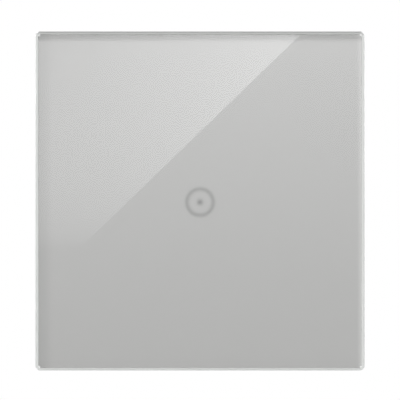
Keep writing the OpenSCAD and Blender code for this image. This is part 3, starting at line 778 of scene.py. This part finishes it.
def gusset_tree() -> GeometryGraph:
    """Tree for a row of wedge ribs that stand between a wall and a floor.

    Returns:
        The tree's builder.
    """
    half = 0.5
    graph = GeometryGraph("gusset_row", {
        "Count": COUNT, "Start": VECTOR, "Step": VECTOR, "Size": VECTOR, "Turn": VECTOR})
    given = graph.given
    cube = graph.add("GeometryNodeMeshCube", {"Size": (1.0, 1.0, 1.0)})
    x, y, z = graph.axes(graph.add("GeometryNodeInputPosition").outputs[0])
    narrow = graph.math("MULTIPLY", graph.math("SUBTRACT", x, half), graph.math("SUBTRACT", half, y))
    spot = graph.add("ShaderNodeCombineXYZ", {0: narrow, 1: graph.math("ADD", y, half), 2: z})
    wedge = graph.add("GeometryNodeSetPosition", {
        "Geometry": cube.outputs[0], "Position": spot.outputs[0]})
    clean = graph.add("GeometryNodeMergeByDistance", {"Geometry": wedge.outputs[0]})
    row = graph.add("GeometryNodeMeshLine", {
        "Count": given["Count"], "Start Location": given["Start"], "Offset": given["Step"]}, mode="OFFSET")
    ribs = graph.add("GeometryNodeInstanceOnPoints", {
        "Points": row.outputs[0], "Instance": clean.outputs[0], "Rotation": given["Turn"],
        "Scale": given["Size"]})
    return graph.close(ribs.outputs[0])


HELIX = helix_tree()
WIRE = wire_tree()
GUSSETS = gusset_tree()


@dataclass(frozen=True)
class ThreadForm:
    """Cut thread of a screw: radii of its shank and core, and the ridge wound on the core."""

    shank: float = 1.5
    core: float = 1.24
    ridge: float = 0.16
    pitch: float = 0.5
    sides: int = 4
    near_shank: float = 0.12


@dataclass(frozen=True)
class Winding:
    """Wire wound between the flanges of a bobbin, and how far the bobbin is drawn in there."""

    node: str
    flange: float
    recess: float
    wire: float
    turn_gap: float = 1.06
    sides: int = 12


# CAD node, its finish, and the width of its rounded edges in millimetres.
Dress = tuple[str, Finish, float]
SCREW_THREAD = ThreadForm()


class SubAssembly:
    """Pieces of the switch that are dressed together."""

    pieces: tuple[Dress, ...] = ()
    winding: Optional[Winding] = None

    def finish_piece(self, obj: Object, node: str, stands_for: bool = True) -> Object:
        """Makes a piece ride with a CAD node's body.

        Args:
            obj: The finished piece.
            node: CAD node that it belongs to.
            stands_for: Whether the piece is shown in place of the node.

        Returns:
            The same object.
        """
        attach(obj, NODE_BODY[node])
        if stands_for:
            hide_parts(node)
        LOG.info("%s rides on %s", obj.name, NODE_BODY[node])
        return obj

    def dress(self, node: str, finish: Finish, rounding: float) -> Object:
        """Shows a CAD node with a finish and with edges rounded by a width in millimetres."""
        obj = worn(softened(copied(node, f"{node}_piece"), rounding), finish)
        return self.finish_piece(obj, node)

    def build(self) -> None:
        """Dresses the pieces that are listed, and winds the one that is a bobbin, if any."""
        for node, finish, rounding in self.pieces:
            self.dress(node, finish, rounding)
            if self.winding and node == self.winding.node:
                self.wound(self.winding)

    def threaded(self, node: str, axis: tuple[float, float], start: float, end: float,
                 neck: float) -> Object:
        """Shows a steel screw with a cut thread in place of its plain shank.

        Args:
            node: CAD node of the screw, which runs along Y.
            axis: X and Z of the screw axis in millimetres.
            start: Y where the thread starts, in millimetres.
            end: Y where the thread ends, in millimetres.
            neck: Y that the plain neck reaches from the head, in millimetres; none where it equals start.

        Returns:
            The piece that stands for the node.
        """
        form = SCREW_THREAD
        obj = softened(copied(node, f"{node}_body"), width=0.06)
        centre = Vector((axis[0] * MM, 0.0, axis[1] * MM))
        for vertex in obj.data.vertices:
            out = vertex.co - centre
            out.y = 0.0
            if abs(out.length - form.shank * MM) < form.near_shank * MM:
                vertex.co -= out * (1 - form.core / form.shank)
        parts = [obj]
        if neck != start:
            bm = bmesh.new()
            middle = Vector((centre.x, (neck + start) / 2 * MM, centre.z))
            place = Matrix.Translation(middle) @ Matrix.Rotation(QUARTER_TURN, 4, "X")
            bmesh.ops.create_cone(bm, cap_ends=True, segments=32, radius1=form.shank * MM,
                                  radius2=form.shank * MM, depth=(start - neck) * MM, matrix=place)
            parts.append(softened(object_of("neck", mesh_of("neck", bm)), width=0.08))
        length = end - start
        parts.append(HELIX.make("thread", SCREW_STEEL, Turns=length / form.pitch, Length=length * MM,
                                Radius=(form.shank - form.ridge) * MM, Ridge=form.ridge * MM,
                                Sides=form.sides, Foot=(centre.x, start * MM, centre.z)))
        return self.finish_piece(worn(joined(f"{node}_piece", parts), SCREW_STEEL), node)

    def wound(self, winding: Winding) -> Object:
        """Winds wire in close turns on a bobbin that stands along Y.

        Args:
            winding: The bobbin's CAD node and the sizes of the winding.

        Returns:
            The winding.
        """
        low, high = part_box(winding.node)
        wire = winding.wire * MM
        inset = winding.flange * MM + wire / 2
        length = high.y - low.y - 2 * inset
        radius = (high.x - low.x) / 2 - winding.recess * MM + wire / 2
        foot = ((low.x + high.x) / 2, low.y + inset, (low.z + high.z) / 2)
        obj = HELIX.make(f"{winding.node}_winding", COPPER, Turns=length / (winding.turn_gap * wire),
                         Radius=radius, Length=length, Ridge=wire / 2, Sides=winding.sides, Foot=foot)
        return self.finish_piece(softened(obj, width=0.0), winding.node, stands_for=False)


@dataclass
class FrontPanel(SubAssembly):
    """Glass, lacquer, icon, tape and carrier that pull off the wall together.

    The glass profile gives inset and Y from the rear of the glass to its front. A face is polished where
    its normal is nearly along Y, and a little sooner at the foot, where the ground band is narrower.
    """

    half_width: float = 42.5
    half_height: float = 43.75
    corner_cut: float = 0.85
    middle: float = 0.3
    glass_profile: tuple[tuple[float, float], ...] = (
        (0.30, -6.0), (0.0, -6.3), (0.0, -8.2), (0.05, -8.7), (0.14, -9.1), (0.28, -9.48),
        (0.72, -9.91), (0.86, -9.98), (1.0, -10.0))
    polished: float = 0.95
    foot_polished: float = 0.88
    foot_slope: float = -0.4
    bed: float = 0.03
    glass_rear: float = -6.0
    skirt_x: float = 40.0
    skirt_z: float = 41.25
    web_rear: float = -3.8
    rib_step: float = 9.0
    rib_long: float = 3.0
    rib_high: float = 2.6
    rib_thick: float = 1.0
    rib_lap: float = 0.2
    ribs_each_way: int = 4
    notch_quarter: int = 1
    pieces: tuple[Dress, ...] = (
        ("adhesive_frame", FOAM, 0.12), ("panel_carrier", CARRIER, 0.18))

    def outline(self, inset: float, y: float) -> list[Vector]:
        """Corners of the panel outline.

        Args:
            inset: How far the outline is drawn in, in millimetres.
            y: Its depth in millimetres.

        Returns:
            The corners in millimetres.
        """
        w, h = self.half_width - inset, self.half_height - inset
        cut = self.corner_cut - (2 - math.sqrt(2)) * inset
        spots = ((w, h - cut), (w - cut, h), (cut - w, h), (-w, h - cut),
                 (-w, cut - h), (cut - w, -h), (w - cut, -h), (w, cut - h))
        return [Vector((x, y, z + self.middle)) for x, z in spots]

    def glass(self) -> None:
        """Glass with polished faces, a rounded arris and a ground bevel."""
        bm = bmesh.new()
        rings = [[bm.verts.new(p * MM) for p in self.outline(*step)] for step in self.glass_profile]
        for low, high in zip(rings, rings[1:]):
            for i in range(len(low)):
                j = (i + 1) % len(low)
                bm.faces.new((low[i], low[j], high[j], high[i]))
        bm.faces.new(rings[0])
        bm.faces.new(reversed(rings[-1]))
        bmesh.ops.recalc_face_normals(bm, faces=bm.faces)
        for face in bm.faces:
            limit = self.foot_polished if face.normal.z < self.foot_slope else self.polished
            face.material_index = 0 if abs(face.normal.y) > limit else 1
        mesh = mesh_of("glass_panel_piece", bm)
        for finish in (GLASS, GROUND_EDGE):
            mesh.materials.append(finish.material())
        self.finish_piece(object_of("glass_panel_piece", mesh), "glass_panel")

    def lacquer(self) -> None:
        """Lacquer and icon, bedded on the glass with no air between."""
        for node in ("back_lacquer", "icon_ring_window", "icon_dot_window"):
            obj = worn(copied(node, f"{node}_piece"), LACQUER)
            for vertex in obj.data.vertices:
                if vertex.co.y < (self.glass_rear + self.bed) * MM:
                    vertex.co.y -= self.bed * MM
            self.finish_piece(obj, node)

    def gussets(self) -> None:
        """Ribs between the carrier web and its skirt, in two rows a side, clear of the levering notch."""
        rows: list[Object] = []
        size = Vector((self.rib_long, self.rib_high, self.rib_thick)) * MM
        for quarter in range(4):
            angle = QUARTER_TURN * quarter
            turn = Matrix.Rotation(angle, 4, "Y")
            wall = self.skirt_x if quarter % 2 == 0 else self.skirt_z
            skipped = 1 if quarter == self.notch_quarter else 0
            for way in (-1, 1):
                step = turn @ Vector((0.0, 0.0, way * self.rib_step))
                start = turn @ Vector((wall + self.rib_lap, self.web_rear - self.rib_lap / 2, 0.0))
                start += step * (skipped + 0.5) + Vector((0.0, 0.0, self.middle))
                rows.append(GUSSETS.make("gusset_row", CARRIER, Count=self.ribs_each_way - skipped,
                                         Start=start * MM, Step=step * MM, Size=size,
                                         Turn=(0.0, angle, 0.0)))
        obj = worn(softened(joined("carrier_gussets", rows), width=0.08), CARRIER)
        self.finish_piece(obj, "panel_carrier", stands_for=False)

    def build(self) -> None:
        """Dresses the front panel."""
        self.glass()
        self.lacquer()
        super().build()
        self.gussets()


class Mark(Enum):
    """Letters moulded beside the terminals, with the place of each along X in millimetres."""

    N = -8.5
    L = 0.0
    L1 = 8.5


@dataclass
class WallModule(SubAssembly):
    """Plate, flush housing, front cover and claw guides."""

    mark_high: float = 2.6
    mark_z: float = -7.4
    mark_raise: float = 0.25
    type_size: float = 1.4
    housing_rear: float = 28.0
    pieces: tuple[Dress, ...] = (
        ("mounting_plate", ZINC, 0.14), ("module_housing", HOUSING, 0.2),
        ("module_screws", SCREW_STEEL, 0.08), ("front_cover", DARK, 0.15),
        ("claw_guide_left", HOUSING, 0.15), ("claw_guide_right", HOUSING, 0.15))

    def marks(self) -> None:
        """Raised terminal letters on the rear of the housing, to be read from behind."""
        turn = Matrix(((-1, 0, 0, 0), (0, 0, 1, 0), (0, 1, 0, 0), (0, 0, 0, 1)))
        letters: list[Object] = []
        for mark in Mark:
            curve = bpy.data.curves.new(f"mark_{mark.name}", "FONT")
            curve.body = mark.name
            curve.size = self.mark_high * self.type_size * MM
            curve.extrude = self.mark_raise * MM
            curve.align_x = "CENTER"
            source = linked(bpy.data.objects.new(curve.name, curve))
            mesh = evaluated(source)
            bpy.data.objects.remove(source)
            foot = Vector((mark.value, self.housing_rear, self.mark_z - self.mark_high / 2))
            mesh.transform(Matrix.Translation(foot * MM) @ turn)
            letters.append(object_of(f"mark_{mark.name}", mesh))
        obj = worn(joined("terminal_marks", letters), HOUSING)
        self.finish_piece(obj, "module_housing", stands_for=False)

    def build(self) -> None:
        """Dresses the module and the plate."""
        super().build()
        self.marks()


@dataclass
class TouchSensor(SubAssembly):
    """Sensor board, spring electrode, light guide and indicator lights.

    The spring's straight end is given in wire diameters: its turn off the coil, and its two heights.
    """

    spring_r: float = 4.975
    wire_d: float = 0.6
    turns: float = 3.5
    bend_r: float = 1.0
    leg_tail: float = 0.4
    end_turn: float = 0.7
    end_heights: tuple[float, float] = (0.5, 1.6)
    board_front: float = 1.0
    board_rear: float = 2.2
    electrode_rear: float = -5.45
    turn_steps: int = 48
    bend_steps: int = 8
    pieces: tuple[Dress, ...] = (
        ("electrode_ring", BRASS, 0.06), ("light_guide", LIGHT_PIPE, 0.08),
        ("indicator_leds", LED_CAP, 0.08), ("sensor_board", BOARD, 0.06),
        ("sensor_screws", SCREW_STEEL, 0.06), ("touch_chip", CHIP, 0.04),
        ("sensor_passives", CERAMIC, 0.08), ("board_socket", DARK, 0.08), ("board_header", DARK, 0.08),
        ("header_pins", BRASS, 0.05))

    def spring_path(self) -> list[Vector]:
        """Centre line of the spring: leg, bend, coil and straight end.

        Returns:
            Its points in metres.
        """
        r = self.spring_r
        coil_low = self.board_front - self.wire_d - self.bend_r
        coil_high = self.electrode_rear + self.end_heights[1] * self.wire_d
        first = math.asin(self.bend_r / r)
        points = [Vector((r, self.board_rear + self.leg_tail, 0.0)), Vector((r, self.board_front, 0.0))]
        for part in range(self.bend_steps):
            a = QUARTER_TURN * part / self.bend_steps
            points.append(Vector((r, coil_low + self.bend_r * (1 - math.sin(a)),
                                  self.bend_r * (1 - math.cos(a)))))
        count = int(self.turns * self.turn_steps)
        last = first + 2 * math.pi * self.turns
        for i in range(count + 1):
            t = i / count
            a = first + (last - first) * t
            points.append(Vector((r * math.cos(a), coil_low + (coil_high - coil_low) * t, r * math.sin(a))))
        end = last + math.asin(self.end_turn * self.wire_d / r)
        for share in self.end_heights:
            points.append(Vector((r * math.cos(end), coil_high - share * self.wire_d, r * math.sin(end))))
        return [p * MM for p in points]

    def spring(self) -> None:
        """Round spring wire from the board to the electrode ring."""
        points = self.spring_path()
        mesh = bpy.data.meshes.new("touch_spring_line")
        mesh.from_pydata(points, [(i, i + 1) for i in range(len(points) - 1)], [])
        obj = WIRE.make("touch_spring_piece", SPRING, mesh, Radius=self.wire_d / 2 * MM)
        self.finish_piece(obj, "touch_spring")

    def build(self) -> None:
        """Dresses the touch sensor."""
        self.spring()
        super().build()


@dataclass
class PowerSupply(SubAssembly):
    """Power board and the parts that feed the sensor."""

    winding: Winding = Winding("inductor", flange=1.0, recess=0.6, wire=0.36)
    pieces: tuple[Dress, ...] = (
        ("power_board", BOARD, 0.06), ("power_screws", SCREW_STEEL, 0.06),
        ("converter_chip", CHIP, 0.04), ("bridge_rectifier", CHIP, 0.04),
        ("filter_capacitor", FILM, 0.4), ("bulk_capacitor", SLEEVE, 0.12), ("fuse", FUSE_CASE, 0.3),
        ("varistor", DIPPED, 0.4), ("inductor", FERRITE, 0.12))


@dataclass
class SwitchRelay(SubAssembly):
    """Relay that switches the load."""

    winding: Winding = Winding("relay_coil", flange=0.6, recess=0.4, wire=0.26)
    pieces: tuple[Dress, ...] = (
        ("relay_base", DARK, 0.15), ("relay_cover", RELAY_CASE, 0.3), ("relay_coil", BOBBIN, 0.1),
        ("relay_yoke", NICKEL, 0.08), ("relay_fixed_contact", BRASS, 0.08),
        ("relay_armature", NICKEL, 0.08), ("relay_moving_contact", BRASS, 0.04))


class Side(Enum):
    """Side of the module, with its sign along X."""

    left = -1
    right = 1


@dataclass
class BoxClaw(SubAssembly):
    """Screw, clip, nut and toothed claw on one side."""

    side: Side
    screw_x: float = 25.0
    thread_start: float = 2.6
    thread_end: float = 24.7
    under_head: float = -1.2

    def build(self) -> None:
        """Dresses the claw and what drives it."""
        name = self.side.name
        self.threaded(f"claw_screw_{name}", (self.side.value * self.screw_x, 0.0), self.thread_start,
                      self.thread_end, self.under_head)
        self.dress(f"claw_clip_{name}", NICKEL, rounding=0.06)
        self.dress(f"claw_nut_{name}", NUT_STEEL, rounding=0.12)
        self.dress(f"claw_{name}", CLAW_STEEL, rounding=0.08)


@dataclass
class TerminalRow(SubAssembly):
    """Three clamps with their blocks, bars, screws and cages."""

    pitch: float = 8.5
    screw_z: float = -18.0
    thread_start: float = 16.1
    thread_end: float = 21.0

    def build(self) -> None:
        """Dresses the terminals."""
        for i in (1, 2, 3):
            self.dress(f"terminal_block_{i}", TERMINAL, rounding=0.12)
            self.dress(f"terminal_cage_{i}", NUT_STEEL, rounding=0.12)
            self.threaded(f"terminal_screw_{i}", ((i - 2) * self.pitch, self.screw_z), self.thread_start,
                          self.thread_end, self.thread_start)
        self.dress("terminal_bars", BRASS, rounding=0.1)


@dataclass(frozen=True)
class Lamp:
    """Square lamp of the studio, aimed at the middle of the switch."""

    name: str
    place: tuple[float, float, float]
    side: float
    level: float
    mirrored: bool = True

    def build(self) -> None:
        """Makes the lamp; level 1 gives a white face that it meets squarely a white render."""
        place = Vector(self.place)
        light = bpy.data.lights.new(self.name, "AREA")
        light.size = self.side
        light.energy = self.level * math.pi ** 2 * place.length_squared
        obj = linked(bpy.data.objects.new(self.name, light))
        obj.location = place
        obj.rotation_mode = "QUATERNION"
        obj.rotation_quaternion = (-place).to_track_quat("-Z", "Y")
        obj.visible_glossy = self.mirrored


@dataclass
class Studio:
    """Camera, lamps, world, floor and the bright cards that the glass reflects.

    A card stands at the camera, twice as far out as the place on the glass where it shows. The window's
    edge on the glass has slant and slant_x: how X grows with Z, and X at Z = 0. lens, card_reach and slant_x
    are in millimetres, the last two on the glass.
    """

    camera_x: float = -0.000013
    camera_y: float = -0.582
    camera_z: float = 0.000557
    lens: float = 200.0
    ambient: float = 0.30
    underlight: float = 0.18
    floor_z: float = -0.12
    floor_half: float = 0.30
    floor_soft: float = 0.14
    floor_glow: float = 0.3
    card_reach: float = 60.0
    card_gap: float = 0.002
    fall_glow: float = 3.7
    fall_half: float = 0.088
    fall_curve: float = 1.4
    window_glow: float = 3.3
    window_wide: float = 0.124
    window_foot: float = -0.023
    window_top: float = 0.073
    slant: float = 1.033
    slant_x: float = -18.72
    lamps: tuple[Lamp, ...] = (
        Lamp("key", (-0.05, -0.80, -0.05), side=0.5, level=0.60, mirrored=False),
        Lamp("left_edge", (-0.55, -0.16, 0.02), side=0.25, level=0.19, mirrored=False),
        Lamp("right_edge", (0.55, -0.16, 0.02), side=0.25, level=0.25, mirrored=False),
        Lamp("rear_left", (-0.50, 0.75, 0.22), side=0.4, level=0.44),
        Lamp("rear_right", (0.50, 0.75, 0.22), side=0.4, level=0.34),
    )

    def seen(self, graph: NodeGraph) -> Socket:
        """Mask of the rays that look at a thing, directly, in a mirror or through glass.

        Args:
            graph: Tree that gets the nodes.

        Returns:
            The mask.
        """
        path = graph.add("ShaderNodeLightPath").outputs
        mirrored = graph.math("MAXIMUM", path["Is Camera Ray"], path["Is Glossy Ray"])
        return graph.math("MAXIMUM", mirrored, path["Is Transmission Ray"])

    def camera(self) -> None:
        """Camera straight in front of the panel."""
        data = bpy.data.cameras.new("camera")
        data.lens = self.lens
        data.sensor_width = 36.0
        data.clip_start = 0.01
        data.clip_end = 50.0
        obj = linked(bpy.data.objects.new("camera", data))
        obj.location = (self.camera_x, self.camera_y, self.camera_z)
        obj.rotation_euler = (QUARTER_TURN, 0.0, 0.0)
        bpy.context.scene.camera = obj

    def world(self) -> None:
        """White world to look at, and softer light from all round, most of it from below."""
        world = bpy.data.worlds.new("studio")
        bpy.context.scene.world = world
        world.use_nodes = True
        graph = NodeGraph(world.node_tree)
        graph.tree.nodes.clear()
        height = graph.axes(graph.add("ShaderNodeTexCoord").outputs["Generated"])[2]
        soft = graph.math("MULTIPLY_ADD", height, -self.underlight, self.ambient)
        strength = graph.math("MAXIMUM", self.seen(graph), soft)
        back = graph.add("ShaderNodeBackground", {"Color": (1, 1, 1, 1), "Strength": strength})
        graph.add("ShaderNodeOutputWorld", {"Surface": back.outputs[0]})

    def floor(self) -> None:
        """Pale floor that runs out softly into the white round it and hides nothing from below."""
        graph = MaterialGraph("pale_floor")
        grain = graph.group(MOULDED, Tone=(0.8, 0.8, 0.8, 1), Grain=300.0, Contrast=0.02, Rough=0.9,
                            Spread=0.05)
        glow = graph.math("MULTIPLY", self.seen(graph), self.floor_glow)
        graph.wear(grain, Specular_IOR_Level=0.0, Emission_Color=(1, 1, 1, 1), Emission_Strength=glow)
        axes = graph.axes(graph.place)
        away = graph.ramp(graph.length({0: axes[0], 1: axes[1]}), self.floor_soft, self.floor_half,
                          shape="SMOOTHSTEP")
        below = graph.add("ShaderNodeNewGeometry").outputs["Backfacing"]
        graph.clear_by(graph.math("MAXIMUM", away, below))
        h, z = self.floor_half, self.floor_z
        mesh = bpy.data.meshes.new("floor")
        mesh.from_pydata([(-h, -h, z), (h, -h, z), (h, h, z), (-h, h, z)], [], [(0, 1, 2, 3)])
        mesh.materials.append(graph.material)
        object_of("floor", mesh)

    def card(self, graph: MaterialGraph, glow: Socket, corners: Sequence[tuple[float, float]],
             behind: float) -> None:
        """Bright card at the camera that only reflections show, named as its material is.

        Args:
            graph: Builder of its material.
            glow: Its strength.
            corners: Where its corners show on the glass, X and Z in millimetres.
            behind: How far it stands behind the camera, in metres.
        """
        name = graph.material.name
        light = graph.add("ShaderNodeEmission", {"Strength": glow})
        clear = graph.add("ShaderNodeBsdfTransparent")
        graph.show(graph.add("ShaderNodeAddShader", {0: light.outputs[0], 1: clear.outputs[0]}))
        points = [(2 * x * MM - self.camera_x, self.camera_y - behind, 2 * z * MM - self.camera_z)
                  for x, z in corners]
        mesh = bpy.data.meshes.new(name)
        mesh.from_pydata(points, [], [tuple(range(len(points)))])
        mesh.materials.append(graph.material)
        obj = object_of(name, mesh)
        obj.visible_camera = False
        obj.visible_diffuse = False
        obj.visible_transmission = False
        obj.visible_shadow = False

    def soft_fall(self) -> None:
        """Card for a soft fall of light from the top of the panel to its foot."""
        far = self.card_reach
        graph = MaterialGraph("soft_fall")
        height = graph.ramp(graph.axes(graph.place)[2], -self.fall_half, self.fall_half)
        glow = graph.math("MULTIPLY", graph.math("POWER", height, self.fall_curve), self.fall_glow)
        self.card(graph, glow, ((-far, -far), (far, -far), (far, far), (-far, far)), 2 * self.card_gap)

    def slanted_window(self) -> None:
        """Card for window light on the upper left, which fades downwards and away from its slanted edge."""
        far = self.card_reach
        graph = MaterialGraph("slanted_window")
        axes = graph.axes(graph.place)
        edge = graph.math("MULTIPLY_ADD", axes[2], self.slant, 2 * self.slant_x * MM)
        away = graph.math("SUBTRACT", edge, axes[0])
        across = graph.ramp(away, 0.0, self.window_wide, first=1.0, last=0.0)
        down = graph.math("SQRT", graph.ramp(axes[2], self.window_foot, self.window_top))
        glow = graph.math("MULTIPLY", graph.math("MULTIPLY", down, across), self.window_glow)
        corners = ((-far, far), (self.slant_x + self.slant * far, far),
                   (-far, (-far - self.slant_x) / self.slant))
        self.card(graph, glow, corners, self.card_gap)

    def build(self) -> None:
        """Builds the studio."""
        bpy.context.scene.view_settings.view_transform = "Standard"
        self.camera()
        self.world()
        self.floor()
        self.soft_fall()
        self.slanted_window()
        for lamp in self.lamps:
            lamp.build()


def main() -> None:
    """Builds the studio and every sub-assembly of the switch, in order."""
    logging.basicConfig(level=logging.INFO, format="%(name)s: %(message)s")
    Studio().build()
    FrontPanel().build()
    WallModule().build()
    TouchSensor().build()
    PowerSupply().build()
    SwitchRelay().build()
    for side in Side:
        BoxClaw(side).build()
    TerminalRow().build()


if __name__ == "__main__":
    main()
